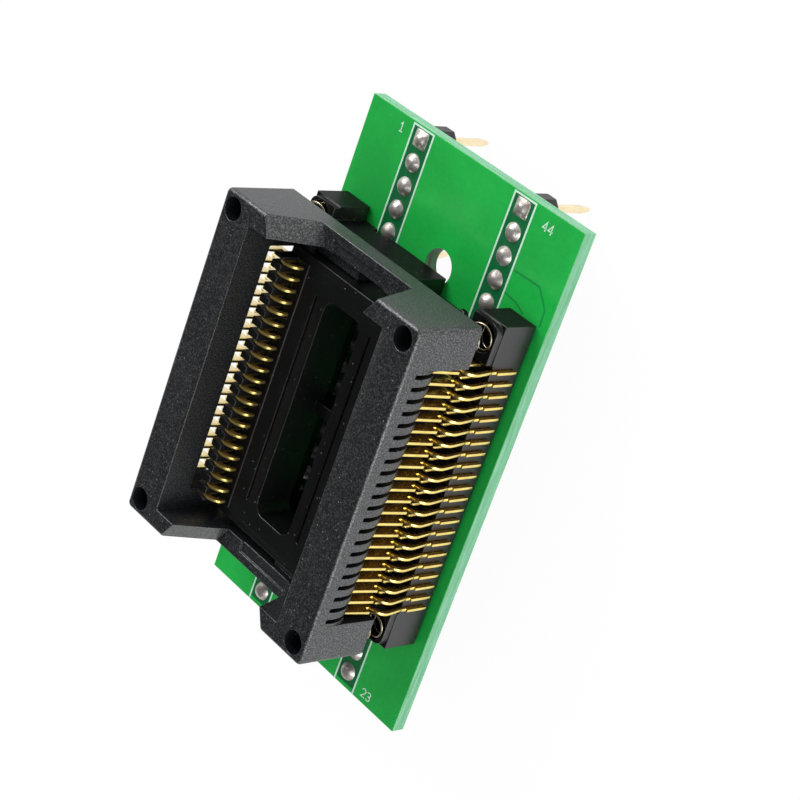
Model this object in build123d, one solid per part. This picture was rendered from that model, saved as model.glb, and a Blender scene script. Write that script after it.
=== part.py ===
from build123d import *
import os
from math import cos, sin, sqrt

# Programming socket adapter: a 44-way sprung test socket for a small-outline chip, on a circuit
# board that plugs into a 44-way dual-row socket through two rows of square pins.
# Millimetres. X runs across the pin rows, Y along them towards pin 1, Z up from the pin tips.

# Pin headers under the board
pin_pitch = 2.54
pins_per_row = 22
row_spacing = 15.24
pin_square = 0.64
pin_tip_square = 0.3
pin_tip_length = 1.1
pin_length = 6.0
pin_above_board = 0.45
header_height = 2.0
header_width = 2.54
header_corner = 0.62
header_end_cut = 0.15
header_offset = 0.25
pin_clearance = 0.01

# Circuit board
board_width = 31.6
board_length = 56.6
board_thickness = 1.6
locating_hole_diameter = 3.7
locating_hole_x = 0.2
locating_hole_y = 16.85

# Solder on the header pins
joint_diameter = 2.0
joint_height = 0.72
joint_crown_diameter = 0.9
joint_facets = 8
square_joint_side = 1.9

# Contacts, stamped from sheet and set edge-on
contact_pitch = 1.27
contacts_per_row = 22
contact_thickness = 0.28
blade_outer_x = 15.1
blade_inner_x = 10.7
blade_bottom_z = 1.2
blade_top_z = 3.8
post_outer_x = 13.25
post_width = 0.6
post_top_z = 6.55
hinge_x = 14.66
hinge_z = 4.35
arm_swing = 0.2
strip_width = 0.42
strip_bulge_x = 15.15
strip_bulge_z = 6.3
strip_shoulder_x = 13.75
strip_shoulder_z = 7.95
lever_foot_x = 14.52
lever_foot_z = 8.45
lever_top_x = 13.8
lever_top_z = 12.6
lever_width = 0.38
lever_web_x = 13.0
lever_web_z = 8.9
beam_top_z = 8.05
beam_bottom_z = 7.35
arm_outer_x = 8.9
arm_width = 0.62
arm_top_z = 12.4
tip_end_x = 6.55
tip_end_z = 10.85
tip_thickness = 0.36
arm_split_gap = 0.06
tail_width = 0.5
tail_length = 1.0
tail_near_x = 12.2
tail_far_x = 13.9
tail_clearance = 0.02
tail_joint_diameter = 1.05
tail_joint_tip = 0.66
tail_joint_height = 0.7

# Socket base
socket_offset = -0.15
base_half_width = 14.6
base_half_length = 18.1
base_standoff = 0.25
base_wall_top_z = 4.2
base_comb_half_length = 13.9
blade_slot_clearance = 0.04
block_inner_x = 10.8
block_top_z = 5.1
block_step_z = 4.4
block_step_inset = 0.16
block_corner = 1.0
tower_half_width = 9.4
tower_half_length = 14.8
tooth_top_z = 12.6
tooth_inner_x = 7.95
seat_z = 10.55
seat_inner_x = 6.3
plateau_z = 10.4
arm_slot_clearance = 0.1
arm_slot_floor_z = 6.9
well_half_width = 2.7
well_half_length = 12.1
well_corner = 1.2
cavity_half_width = 6.4
cavity_half_length = 12.6
cavity_top_z = 6.0
cross_rib_width = 1.3
joint_channel_half_width = 1.25
joint_channel_top_z = 1.1
cross_rib_top_z = 7.1
seat_groove_x = 4.2
seat_groove_width = 0.3
seat_groove_depth = 0.4
seat_groove_half_length = 11.6
peg_diameter = 1.5
peg_x = 5.4
peg_y = 14.2
peg_clearance = 0.05
lug_outer_y = 16.6
lug_wall = 0.85
lug_top_z = 5.0
lug_near_x = 2.0
lug_far_x = -10.8

# Cover
cover_half_width = 14.9
cover_half_length = 18.25
cover_top_z = 16.06
cover_bottom_z = 7.8
cover_post_inner_y = 13.9
cover_travel = 2.0
rail_inner_x = 10.4
rail_bottom_z = 11.45
rail_inner_chamfer = 1.0
rail_curve_top_z = 13.6
rail_foot_x = 14.2
end_wall_inner_y = 16.15
saddle_z = 10.0
saddle_step = 0.25
saddle_step_near_x = 3.3
saddle_step_far_x = -4.4
slope_top_outer_x = 8.75
slope_top_inner_x = 7.5
slope_foot_outer_x = 6.9
slope_foot_inner_x = 5.65
cover_corner = 0.6
cover_top_edge = 0.45
comb_slot_width = 0.42
comb_slot_inner_x = 12.9
cam_gap = 0.07
corner_hole_diameter = 2.4
corner_hole_depth = 4.5
corner_hole_x = 13.18
corner_hole_y = 16.53
latch_near_x = -1.0
latch_far_x = -8.0
latch_thickness = 0.7
latch_gap = 0.1
latch_side_gap = 0.15
latch_bottom_z = 2.9
latch_root_top_z = 9.0
barb_depth = 0.6
barb_height = 0.8
barb_stop_gap = 0.05
barb_room = 0.15

# Return springs
spring_x = 12.8
spring_y = 16.2
spring_radius = 1.3
spring_wire = 0.24
spring_wire_facets = 6
spring_pitch = 1.3
spring_pocket_gap = 0.1
block_pocket_floor_z = 3.4
cover_pocket_roof_z = 9.42
spring_end_gap = 0.02

board_bottom = pin_length + header_height
board_top = board_bottom + board_thickness


def above_board(z):
    """Height over the pin tips of a level measured from the board's upper face."""
    return board_top + z


def block(x0, x1, y0, y1, z0, z1):
    """A box between two corners, with its levels measured from the board's upper face."""
    size = (abs(x1 - x0), abs(y1 - y0), abs(z1 - z0))
    middle = ((x0 + x1) / 2, (y0 + y1) / 2, above_board((z0 + z1) / 2))
    return Pos(*middle) * Box(*size)


def plate(points, y_middle, thickness):
    """An outline of (x, z) points over the board, made into a plate that lies across Y."""
    outline = Polyline(*[(x, above_board(z)) for x, z in points], close=True)
    start = Plane(origin=(0, y_middle + thickness / 2, 0), x_dir=(1, 0, 0), z_dir=(0, -1, 0))
    return extrude(start * make_face(outline), amount=thickness)


def to_left(shape):
    """The same shape on the other pin row, turned half a turn about the socket's axis."""
    return Rot(0, 0, 180) * shape


def row_positions(count, pitch):
    """Places along Y, centred on the row."""
    return [(i - (count - 1) / 2) * pitch for i in range(count)]


def pin_positions():
    """Places of the header pins along Y."""
    return [header_offset + y for y in row_positions(pins_per_row, pin_pitch)]


def contact_positions():
    """Places of the contacts along Y, centred on the socket."""
    return row_positions(contacts_per_row, contact_pitch)


def tail_x(index):
    """Tails take turns between two lines of holes, so that the holes stay apart."""
    return tail_near_x if index % 2 == 0 else tail_far_x


def on_board(shape):
    """Moves a piece of the socket to the socket's place on the board."""
    move = Pos(0, socket_offset, 0)
    if isinstance(shape, list):
        return [move * solid for solid in shape]
    return move * shape


def write(name, shape):
    """Writes one node, as a group where it holds several solids."""
    solids = shape if isinstance(shape, list) else shape.solids()
    result = Compound(children=list(solids)) if len(solids) > 1 else solids[0]
    result.label = name
    export_step(result, "parts/" + name + ".step")


# Circuit board

def tail_hole(x, y, clearance):
    """The square opening round one contact tail."""
    side_x = tail_width + 2 * clearance
    side_y = contact_thickness + 2 * clearance
    return Pos(x, y, board_bottom + board_thickness / 2) * Box(side_x, side_y, 2 * board_thickness)


def circuit_board():
    """The board with its pin holes, tail holes, peg holes and the locating hole."""
    board = Pos(0, 0, board_bottom + board_thickness / 2) * Box(board_width, board_length, board_thickness)
    pin_hole = pin_square + 2 * pin_clearance
    cuts = []
    for side in (-1, 1):
        for y in pin_positions():
            place = Pos(side * row_spacing / 2, y, board_bottom + board_thickness / 2)
            cuts.append(place * Box(pin_hole, pin_hole, 2 * board_thickness))
        for index, y in enumerate(contact_positions()):
            cuts.append(on_board(tail_hole(side * tail_x(index), side * y, tail_clearance)))
        peg_hole = Cylinder(peg_diameter / 2 + peg_clearance, 2 * board_thickness)
        cuts.append(on_board(Pos(side * peg_x, side * peg_y, board_bottom) * peg_hole))
    hole = Cylinder(locating_hole_diameter / 2, 2 * board_thickness)
    cuts.append(Pos(locating_hole_x, locating_hole_y, board_bottom + board_thickness / 2) * hole)
    return board - cuts


# Pin headers

def header_strip(side):
    """One moulded strip of eight-sided cells, with a square hole for each pin."""
    half = header_width / 2
    step = pin_pitch / 2
    outer = []
    inner = []
    places = pin_positions()
    for y in places:
        low = y - step + (header_end_cut if y == places[0] else 0)
        high = y + step - (header_end_cut if y == places[-1] else 0)
        outer += [(half - header_corner, low), (half, low + header_corner),
                  (half, high - header_corner), (half - header_corner, high)]
    for x, y in reversed(outer):
        inner.append((-x, y))
    points = []
    for point in outer + inner:
        if not points or point != points[-1]:
            points.append(point)
    face = make_face(Polyline(*points, close=True))
    for y in pin_positions():
        hole = pin_square + 2 * pin_clearance
        face -= Pos(0, y, 0) * Rectangle(hole, hole)
    strip = extrude(Plane.XY.offset(board_bottom - header_height) * face, amount=header_height)
    return Pos(side * row_spacing / 2, 0, 0) * strip


def header_pin():
    """A square pin with a tapered tip, standing on its tip at the origin."""
    shaft_length = pin_length - pin_tip_length + header_height + board_thickness + pin_above_board
    shaft = Pos(0, 0, pin_tip_length + shaft_length / 2) * Box(pin_square, pin_square, shaft_length)
    narrow = Rectangle(pin_tip_square, pin_tip_square)
    wide = Pos(0, 0, pin_tip_length) * Rectangle(pin_square, pin_square)
    return shaft + loft([narrow, wide], ruled=True)


def header_pins(side):
    """The 22 pins of one row."""
    pin = header_pin()
    return [(Pos(side * row_spacing / 2, y, 0) * pin).solid() for y in pin_positions()]


def round_joint():
    """A many-sided dome of solder round the end of a pin, standing on the board's upper face."""
    foot = RegularPolygon(joint_diameter / 2, joint_facets)
    waist = Pos(0, 0, joint_height * 0.5) * RegularPolygon(joint_diameter * 0.44, joint_facets)
    crown = Pos(0, 0, joint_height) * RegularPolygon(joint_crown_diameter / 2, joint_facets)
    return loft([foot, waist], ruled=True) + loft([waist, crown], ruled=True)


def square_joint():
    """A solder joint on a square pad, standing on the board's upper face."""
    foot = Rectangle(square_joint_side, square_joint_side)
    crown = Pos(0, 0, joint_height) * Rectangle(joint_crown_diameter, joint_crown_diameter)
    return loft([foot, crown], ruled=True)


def pin_pocket():
    """The space that the end of a pin takes up inside its solder joint."""
    return Pos(0, 0, pin_above_board / 2) * Box(pin_square, pin_square, pin_above_board)


def header_joints(side):
    """The domed solder joints of one row, on all pins but the one at the +Y end."""
    joint = round_joint() - pin_pocket()
    places = pin_positions()[:-1]
    return [(Pos(side * row_spacing / 2, y, board_top) * joint).solid() for y in places]


def end_pin_joint(side):
    """The solder joint of the pin at the +Y end, on its square pad."""
    joint = square_joint() - pin_pocket()
    return Pos(side * row_spacing / 2, pin_positions()[-1], board_top) * joint


# Contacts

def blade_outline(index):
    """The fixed half of a contact: a plate in the base, a stop post, a tail and the strip's root."""
    x = tail_x(index)
    tail_end = -board_thickness - tail_length
    root_inner = hinge_x - strip_width / 2
    root_outer = hinge_x + strip_width / 2
    return [(blade_outer_x, blade_bottom_z), (blade_outer_x, blade_top_z), (root_outer, blade_top_z),
            (root_outer, hinge_z), (root_inner, hinge_z), (root_inner, blade_top_z - 0.3),
            (post_outer_x, blade_top_z - 0.3), (post_outer_x, post_top_z - 0.15),
            (post_outer_x - 0.15, post_top_z), (post_outer_x - post_width, post_top_z),
            (post_outer_x - post_width, blade_top_z - 0.3), (blade_inner_x, blade_top_z - 0.3),
            (blade_inner_x, blade_bottom_z), (x - tail_width / 2, blade_bottom_z),
            (x - tail_width / 2, tail_end), (x + tail_width / 2, tail_end),
            (x + tail_width / 2, blade_bottom_z)]


def arm_face():
    """The moving half of a contact, in (x, z) over the board: strip, beam, lever and tip arm."""
    half = strip_width / 2
    foot = hinge_z + arm_split_gap
    inner_shoulder_z = strip_shoulder_z - strip_width
    arm_inner_x = arm_outer_x - arm_width
    tip_root_x = arm_inner_x - 0.15
    edges = [
        Line((hinge_x + half, foot), (strip_bulge_x, strip_bulge_z)),
        TangentArc((strip_bulge_x, strip_bulge_z), (strip_shoulder_x, strip_shoulder_z),
                   tangent=(strip_bulge_x - hinge_x - half, strip_bulge_z - foot)),
        Line((strip_shoulder_x, strip_shoulder_z), (strip_shoulder_x, lever_foot_z - 0.1)),
        Line((strip_shoulder_x, lever_foot_z - 0.1), (lever_foot_x, lever_foot_z)),
        Line((lever_foot_x, lever_foot_z), (lever_top_x, lever_top_z)),
        Line((lever_top_x, lever_top_z), (lever_top_x - lever_width, lever_top_z)),
        Line((lever_top_x - lever_width, lever_top_z), (lever_web_x, lever_web_z)),
        Line((lever_web_x, lever_web_z), (strip_shoulder_x - 0.6, beam_top_z)),
        Line((strip_shoulder_x - 0.6, beam_top_z), (arm_outer_x + 0.4, beam_top_z)),
        Line((arm_outer_x + 0.4, beam_top_z), (arm_outer_x, beam_top_z + 0.5)),
        Line((arm_outer_x, beam_top_z + 0.5), (arm_outer_x - 0.2, arm_top_z - 0.5)),
        Line((arm_outer_x - 0.2, arm_top_z - 0.5), (arm_outer_x - 0.4, arm_top_z - 0.1)),
        Line((arm_outer_x - 0.4, arm_top_z - 0.1), (tip_root_x, arm_top_z)),
        ThreePointArc((tip_root_x, arm_top_z), (tip_end_x + 0.45, arm_top_z - 0.32),
                      (tip_end_x, tip_end_z + 0.55)),
        Line((tip_end_x, tip_end_z + 0.55), (tip_end_x, tip_end_z)),
        Line((tip_end_x, tip_end_z), (tip_end_x + tip_thickness, tip_end_z)),
        ThreePointArc((tip_end_x + tip_thickness, tip_end_z), (tip_end_x + 0.85, arm_top_z - 0.8),
                      (arm_inner_x, arm_top_z - 0.7)),
        Line((arm_inner_x, arm_top_z - 0.7), (arm_inner_x + 0.1, beam_bottom_z + 0.6)),
        Line((arm_inner_x + 0.1, beam_bottom_z + 0.6), (arm_inner_x + 0.7, beam_bottom_z)),
        Line((arm_inner_x + 0.7, beam_bottom_z), (strip_shoulder_x, inner_shoulder_z)),
        ThreePointArc((strip_shoulder_x, inner_shoulder_z), (strip_bulge_x - 0.7, strip_bulge_z + 0.87),
                      (strip_bulge_x - strip_width, strip_bulge_z)),
        Line((strip_bulge_x - strip_width, strip_bulge_z), (hinge_x - half, foot)),
        Line((hinge_x - half, foot), (hinge_x + half, foot)),
    ]
    return make_face(edges)


def contact_blades(side):
    """The fixed halves of one row of contacts."""
    blades = []
    for index, y in enumerate(contact_positions()):
        blade = plate(blade_outline(index), y, contact_thickness)
        blades.append((blade if side > 0 else to_left(blade)).solid())
    return blades


def contact_arms(side):
    """The moving halves of one row of contacts."""
    start = Plane(origin=(0, contact_thickness / 2, board_top), x_dir=(1, 0, 0), z_dir=(0, -1, 0))
    arm = extrude(start * arm_face(), amount=contact_thickness)
    if side < 0:
        arm = to_left(arm)
    return [(Pos(0, side * y, 0) * arm).solid() for y in contact_positions()]


def tail_joints(side):
    """Many-sided cones of solder round the tails, under the board."""
    tip = Pos(0, 0, board_bottom - tail_joint_height) * RegularPolygon(tail_joint_tip / 2, joint_facets)
    foot = Pos(0, 0, board_bottom) * RegularPolygon(tail_joint_diameter / 2, joint_facets)
    cone = loft([tip, foot], ruled=True)
    joints = []
    for index, y in enumerate(contact_positions()):
        x = tail_x(index)
        tail = tail_hole(x, y, 0)
        joint = Pos(x, y, 0) * cone - Pos(0, 0, -board_thickness) * tail
        joints.append((joint if side > 0 else to_left(joint)).solid())
    return joints


# Socket base

def base_half_cuts():
    """What is cut from the base on the +X side. The other side gets the same, turned half a turn."""
    cuts = []
    blade_slot = contact_thickness + 2 * blade_slot_clearance
    arm_slot = contact_thickness + 2 * arm_slot_clearance
    for index, y in enumerate(contact_positions()):
        cuts.append(block(blade_inner_x - blade_slot_clearance, base_half_width + 1, y - blade_slot / 2,
                          y + blade_slot / 2, blade_bottom_z - 0.01, base_wall_top_z + 0.1))
        x = tail_x(index)
        half = tail_width / 2 + blade_slot_clearance
        cuts.append(block(x - half, x + half, y - blade_slot / 2, y + blade_slot / 2, 0, blade_bottom_z))
        cuts.append(block(tooth_inner_x, tower_half_width + 0.1, y - arm_slot / 2, y + arm_slot / 2,
                          arm_slot_floor_z, tooth_top_z + 0.1))
    reach = seat_groove_half_length
    cuts.append(block(seat_groove_x - seat_groove_width / 2, seat_groove_x + seat_groove_width / 2,
                      -reach, reach, plateau_z - seat_groove_depth, plateau_z + 0.1))
    for sign in (-1, 1):
        pocket = Cylinder(spring_radius + spring_wire / 2 + spring_pocket_gap, 2 * block_top_z)
        cuts.append(Pos(spring_x, sign * spring_y, above_board(block_pocket_floor_z + block_top_z)) * pocket)
    return cuts


def base_tower():
    """The raised middle: lead seats, toothed edges and the plateau under the chip."""
    comb = base_comb_half_length
    tower = block(-tower_half_width, tower_half_width, -tower_half_length, tower_half_length,
                  base_wall_top_z - 0.5, plateau_z)
    seats = block(-tower_half_width, tower_half_width, -comb, comb, plateau_z - 1, seat_z)
    seats -= block(-seat_inner_x, seat_inner_x, -comb - 1, comb + 1, plateau_z, seat_z + 1)
    teeth = block(-tower_half_width, tower_half_width, -comb, comb, seat_z - 1, tooth_top_z)
    teeth -= block(-tooth_inner_x, tooth_inner_x, -comb - 1, comb + 1, seat_z - 2, tooth_top_z + 1)
    return tower + seats + teeth


def corner_block(sign):
    """A block that carries a return spring, with a narrower, rounder upper tier."""
    near = sign * (base_comb_half_length - 0.01)
    lower = block(block_inner_x, base_half_width, near, sign * base_half_length, base_standoff,
                  block_step_z)
    upper = block(block_inner_x, base_half_width - block_step_inset, near,
                  sign * (base_half_length - block_step_inset), block_step_z - 0.1, block_top_z)
    upright = upper.edges().filter_by(Axis.Z)
    corner = [edge for edge in upright if abs(edge.center().Y) > base_comb_half_length
              and edge.center().X > block_inner_x + 0.1]
    return lower + fillet(corner, block_corner)


def base_lug():
    """The low wall that guards the latch at the +Y end, with the cheeks that carry it."""
    outer = lug_outer_y
    back = tower_half_length
    wall = block(lug_far_x, lug_near_x, back - 0.5, outer, base_standoff, lug_top_z)
    room = block(latch_far_x - latch_side_gap, latch_near_x + latch_side_gap, back,
                 outer - lug_wall, 0, lug_top_z + 1)
    return wall - room


def latch_pocket():
    """The hollow in the end wall that the barb travels in, and whose roof stops the cover."""
    roof = latch_bottom_z + barb_height + barb_stop_gap
    floor = latch_bottom_z - cover_travel - barb_room
    back = tower_half_length + latch_gap - barb_depth - barb_room
    return block(latch_far_x - latch_side_gap, latch_near_x + latch_side_gap, back,
                 tower_half_length + 0.01, floor, roof)


def base_well():
    """The well under the chip, the hollow under the plateau and the rib across the middle."""
    mouth = RectangleRounded(2 * well_half_width, 2 * well_half_length, well_corner)
    well = extrude(Plane.XY.offset(above_board(0)) * mouth, amount=plateau_z + 1)
    hollow = block(-cavity_half_width, cavity_half_width, -cavity_half_length, cavity_half_length,
                   0, cavity_top_z)
    rib = block(-cavity_half_width, cavity_half_width, -cross_rib_width / 2, cross_rib_width / 2,
                base_wall_top_z, cross_rib_top_z)
    return well + hollow - rib


def joint_channel():
    """The channel under the base that clears the solder joints of one pin row."""
    middle = row_spacing / 2
    return block(middle - joint_channel_half_width, middle + joint_channel_half_width,
                 -base_half_length, base_half_length, 0, joint_channel_top_z)


def socket_base():
    """The moulded base that holds the contacts and guides the cover."""
    comb = base_comb_half_length
    base = block(-base_half_width, base_half_width, -comb, comb, base_standoff, base_wall_top_z)
    base += block(-tower_half_width, tower_half_width, -tower_half_length, tower_half_length,
                  base_standoff, base_wall_top_z)
    base += base_tower()
    for sign in (-1, 1):
        base += corner_block(sign)
        base += to_left(corner_block(sign))
    base += base_lug()
    base += to_left(base_lug())
    base -= base_well()
    base -= [latch_pocket(), to_left(latch_pocket())]
    base -= [joint_channel(), to_left(joint_channel())]
    cuts = base_half_cuts()
    base -= cuts + [to_left(cut) for cut in cuts]
    peg_length = base_standoff + board_thickness
    for side in (-1, 1):
        peg = Cylinder(peg_diameter / 2, peg_length + 0.2)
        middle = above_board(base_standoff + 0.1 - peg_length / 2)
        base += Pos(side * peg_x, side * peg_y, middle) * peg
    return base


# Cover

def end_wall():
    """The wall at the +Y end: two posts with drafted, skewed inner faces and a low saddle between."""
    faces = []
    for y, top_x, foot_x in ((end_wall_inner_y, slope_top_inner_x, slope_foot_inner_x),
                             (cover_half_length, slope_top_outer_x, slope_foot_outer_x)):
        outline = [(-cover_half_width, cover_bottom_z), (-cover_half_width, cover_top_z),
                   (-top_x, cover_top_z), (-foot_x, saddle_z), (foot_x, saddle_z),
                   (top_x, cover_top_z), (cover_half_width, cover_top_z),
                   (cover_half_width, cover_bottom_z)]
        level = Plane(origin=(0, y, 0), x_dir=(1, 0, 0), z_dir=(0, -1, 0))
        flat = make_face(Polyline(*[(x, above_board(z)) for x, z in outline], close=True))
        faces.append(level * flat)
    wall = loft(faces, ruled=True)
    step = block(saddle_step_far_x, saddle_step_near_x, end_wall_inner_y - 1,
                 end_wall_inner_y + (cover_half_length - end_wall_inner_y) * 0.55,
                 saddle_z - saddle_step, saddle_z + 1)
    return wall - step


def rail_face():
    """The section of the +X rail, in (x, z) over the board, with its curved outer foot."""
    drop = rail_curve_top_z - rail_bottom_z
    reach = cover_half_width - rail_foot_x
    radius = (drop * drop + reach * reach) / (2 * reach)
    half_drop = drop / 2
    half_reach = radius - sqrt(radius * radius - half_drop * half_drop)
    edges = [
        Line((rail_inner_x, cover_top_z), (cover_half_width, cover_top_z)),
        Line((cover_half_width, cover_top_z), (cover_half_width, rail_curve_top_z)),
        ThreePointArc((cover_half_width, rail_curve_top_z),
                      (cover_half_width - half_reach, rail_curve_top_z - half_drop),
                      (rail_foot_x, rail_bottom_z)),
        Line((rail_foot_x, rail_bottom_z), (rail_inner_x + rail_inner_chamfer, rail_bottom_z)),
        Line((rail_inner_x + rail_inner_chamfer, rail_bottom_z),
             (rail_inner_x, rail_bottom_z + rail_inner_chamfer)),
        Line((rail_inner_x, rail_bottom_z + rail_inner_chamfer), (rail_inner_x, cover_top_z)),
    ]
    return make_face(edges)


def rail():
    """The +X rail, which reaches into the posts at both ends."""
    start = Plane(origin=(0, end_wall_inner_y + 0.2, board_top), x_dir=(1, 0, 0), z_dir=(0, -1, 0))
    return extrude(start * rail_face(), amount=2 * (end_wall_inner_y + 0.2))


def corner_post(sign):
    """The post at one end of the +X rail."""
    return block(rail_inner_x, cover_half_width, sign * cover_post_inner_y, sign * cover_half_length,
                 cover_bottom_z, cover_top_z)


def cover_latch():
    """The leg that hooks under the base at the +Y end and stops the cover at the top."""
    outer = tower_half_length + latch_gap + latch_thickness
    inner = tower_half_length + latch_gap
    leg = block(latch_far_x, latch_near_x, inner, outer, latch_bottom_z, latch_root_top_z)
    root = block(latch_far_x, latch_near_x, inner, end_wall_inner_y + 0.3, cover_bottom_z,
                 latch_root_top_z)
    barb = block(latch_far_x, latch_near_x, inner - barb_depth, inner + 0.1, latch_bottom_z,
                 latch_bottom_z + barb_height)
    lower = barb.edges().filter_by(Axis.X).sort_by(Axis.Y)[:2].sort_by(Axis.Z)[0]
    return leg + root + chamfer(lower, 0.45)


def cam_path():
    """Where a lever's inner top corner lies in the cover, with the cover up and pressed down."""
    corner_x = lever_top_x - lever_width - hinge_x
    corner_z = lever_top_z - hinge_z
    across = corner_x * cos(arm_swing) + corner_z * sin(arm_swing)
    upward = corner_z * cos(arm_swing) - corner_x * sin(arm_swing)
    rest = (lever_top_x - lever_width, lever_top_z)
    pressed = (hinge_x + across, hinge_z + upward + cover_travel)
    return rest, pressed


def comb_slots():
    """The slots that the lever ends stand in. The sloped roof pushes them outwards on the way down."""
    (rest_x, rest_z), (pressed_x, pressed_z) = cam_path()
    slope = (pressed_z - rest_z) / (pressed_x - rest_x)
    lift = cam_gap * sqrt(1 + slope * slope)
    outside = cover_half_width + 1
    roof_inner_z = rest_z + lift + slope * (comb_slot_inner_x - rest_x)
    roof_outer_z = rest_z + lift + slope * (outside - rest_x)
    outline = [(comb_slot_inner_x, rail_bottom_z - 1), (outside, rail_bottom_z - 1),
               (outside, roof_outer_z), (comb_slot_inner_x, roof_inner_z)]
    return [plate(outline, y, comb_slot_width) for y in contact_positions()]


def socket_cover():
    """The sliding cover: four posts, two slotted rails and two saddle-shaped end walls."""
    body = end_wall() + to_left(end_wall())
    body += rail() + to_left(rail())
    for sign in (-1, 1):
        body += corner_post(sign)
        body += to_left(corner_post(sign))
    upright = body.edges().filter_by(Axis.Z).group_by(SortBy.LENGTH)[-1]
    corners = [edge for edge in upright if abs(edge.center().Y) > cover_half_length - 0.01
               and abs(edge.center().X) > cover_half_width - 0.01]
    body = fillet(corners, cover_corner)
    top = body.edges().group_by(Axis.Z)[-1]
    rim = [edge for edge in top if abs(edge.center().Y) > cover_half_length - cover_corner
           or abs(edge.center().X) > cover_half_width - cover_corner]
    body = fillet(rim, cover_top_edge)
    slots = comb_slots()
    cuts = slots + [to_left(slot) for slot in slots]
    for side in (-1, 1):
        for sign in (-1, 1):
            hole = Cylinder(corner_hole_diameter / 2, 2 * corner_hole_depth)
            cuts.append(Pos(side * corner_hole_x, sign * corner_hole_y, above_board(cover_top_z)) * hole)
            depth = cover_pocket_roof_z - cover_bottom_z + 1
            pocket = Cylinder(spring_radius + spring_wire / 2 + spring_pocket_gap, depth)
            middle = above_board(cover_pocket_roof_z - depth / 2)
            cuts.append(Pos(side * spring_x, sign * spring_y, middle) * pocket)
    body -= cuts
    return body + cover_latch() + to_left(cover_latch())


# Return springs

def return_spring(side, sign):
    """A coil between the pocket in a corner block and the pocket in the post above it."""
    seat = block_pocket_floor_z + spring_end_gap + spring_wire / 2
    height = cover_pocket_roof_z - spring_end_gap - spring_wire / 2 - seat
    path = Helix(spring_pitch, height, spring_radius)
    section = Plane(origin=path @ 0, z_dir=path % 0) * RegularPolygon(spring_wire / 2, spring_wire_facets)
    coil = sweep(section, path=path, is_frenet=True)
    return Pos(side * spring_x, sign * spring_y, above_board(seat)) * coil


def main():
    os.makedirs("parts", exist_ok=True)
    write("circuit_board", circuit_board())
    write("socket_base", on_board(socket_base()))
    write("socket_cover", on_board(socket_cover()))
    for side, name in ((-1, "left"), (1, "right")):
        write("header_strip_" + name, header_strip(side))
        write("header_pins_" + name, header_pins(side))
        write("header_solder_joints_" + name, header_joints(side))
        write("end_pin_solder_joint_" + name, end_pin_joint(side))
        write("contact_blades_" + name, on_board(contact_blades(side)))
        write("contact_arms_" + name, on_board(contact_arms(side)))
        write("contact_solder_joints_" + name, on_board(tail_joints(side)))
        for sign, end in ((1, "upper"), (-1, "lower")):
            write("return_spring_" + end + "_" + name, on_board(return_spring(side, sign)))


main()
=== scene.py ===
from functools import partial
from math import cos, pi, radians, sin

import bmesh
import bpy
from bpy.props import FloatProperty, FloatVectorProperty, IntProperty, PointerProperty
from mathutils import Matrix, Vector


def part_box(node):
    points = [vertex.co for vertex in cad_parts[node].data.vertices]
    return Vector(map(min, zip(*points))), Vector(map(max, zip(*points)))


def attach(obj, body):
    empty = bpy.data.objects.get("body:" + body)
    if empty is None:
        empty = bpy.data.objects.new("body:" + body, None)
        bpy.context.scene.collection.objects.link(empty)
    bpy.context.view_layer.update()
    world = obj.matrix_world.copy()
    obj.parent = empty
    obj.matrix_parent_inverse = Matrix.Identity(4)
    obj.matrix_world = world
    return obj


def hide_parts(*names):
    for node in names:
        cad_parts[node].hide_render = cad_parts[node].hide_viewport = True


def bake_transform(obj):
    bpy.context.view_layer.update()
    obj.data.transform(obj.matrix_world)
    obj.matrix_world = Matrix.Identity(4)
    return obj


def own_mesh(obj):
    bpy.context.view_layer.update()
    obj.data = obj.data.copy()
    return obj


bl_info = {
    "name": "Programming socket adapter",
    "version": (1, 0, 0),
    "blender": (4, 5, 0),
    "location": "View3D > Sidebar > Adapter",
    "description": "Detailed pieces and finishes for a sprung chip socket on a pinned circuit board",
    "category": "Object",
}

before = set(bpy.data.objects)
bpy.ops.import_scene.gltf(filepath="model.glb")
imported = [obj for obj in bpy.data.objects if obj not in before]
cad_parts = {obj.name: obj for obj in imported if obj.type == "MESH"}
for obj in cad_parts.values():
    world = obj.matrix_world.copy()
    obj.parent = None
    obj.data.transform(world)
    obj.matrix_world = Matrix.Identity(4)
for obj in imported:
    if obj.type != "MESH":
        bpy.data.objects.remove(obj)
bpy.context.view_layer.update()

MM = 0.001
SIDES = (("left", -1), ("right", 1))
MERGE_DISTANCE = 0.002 * MM
FLAT_ANGLE = radians(1.0)
CREASE_ANGLE = radians(35.0)
MOULD_ANGLE = radians(40.0)

# Places read from the frame
BOARD_LOW, BOARD_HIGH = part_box("circuit_board")
BOARD_TOP = BOARD_HIGH.z
STRIP_LOW, STRIP_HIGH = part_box("header_strip_right")
PINS_LOW, PINS_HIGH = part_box("header_pins_right")
ROW_X = (PINS_LOW.x + PINS_HIGH.x) / 2
ROW_Y = (PINS_LOW.y + PINS_HIGH.y) / 2
COVER_LOW, COVER_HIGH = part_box("socket_cover")


def linear(code):
    """Turns an sRGB hex colour into the linear colour that a shader takes."""
    parts = [int(code[i:i + 2], 16) / 255 for i in (1, 3, 5)]
    return tuple(c / 12.92 if c <= 0.04045 else ((c + 0.055) / 1.055) ** 2.4 for c in parts) + (1.0,)


def length(name, description, millimetres):
    """A length that a user may change."""
    return FloatProperty(name=name, description=description, default=millimetres * MM, min=0.0,
                         unit="LENGTH", precision=5)


def colour(name, description, code):
    """A colour that a user may change."""
    return FloatVectorProperty(name=name, description=description, default=linear(code), size=4,
                               min=0.0, max=1.0, subtype="COLOR")


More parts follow.
